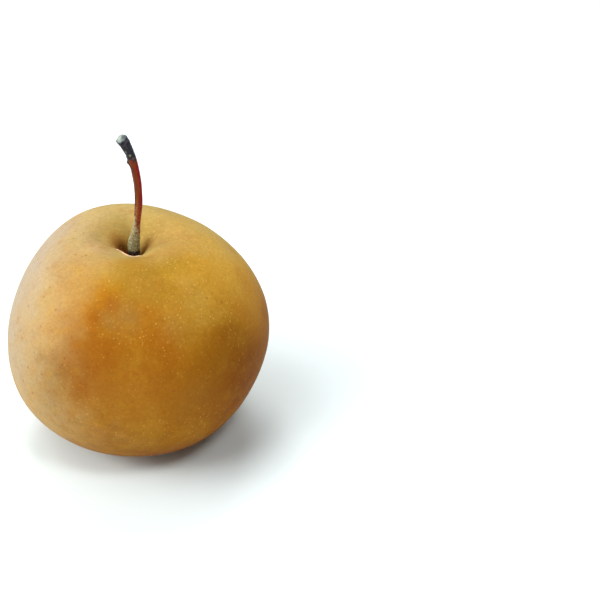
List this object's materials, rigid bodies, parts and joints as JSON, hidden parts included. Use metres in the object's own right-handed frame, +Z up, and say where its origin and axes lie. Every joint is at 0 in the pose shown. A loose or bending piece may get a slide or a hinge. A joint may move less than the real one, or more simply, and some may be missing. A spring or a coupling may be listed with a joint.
{
  "type": "nashi pear",
  "caption": "Whole round russet nashi pear as picked, with a bent woody stem rising from a folded cavity, a calyx basin underneath and a small flat ring it rests on.",
  "frame": {"origin": "on the resting plane, under the middle of the fruit's outline", "axes": "+Z up along the fruit's axis to the stem, -Y the side that faces the viewer, +X to the viewer's right"},
  "size_m": [0.0818, 0.0818, 0.1056],
  "materials": {
    "fruit_skin": "satin russet skin with pale lenticels",
    "stem_bark": "matte bark"
  },
  "bodies": {
    "root": {"fruit": "fruit_skin", "stem": "stem_bark"}
  },
  "joints": []
}
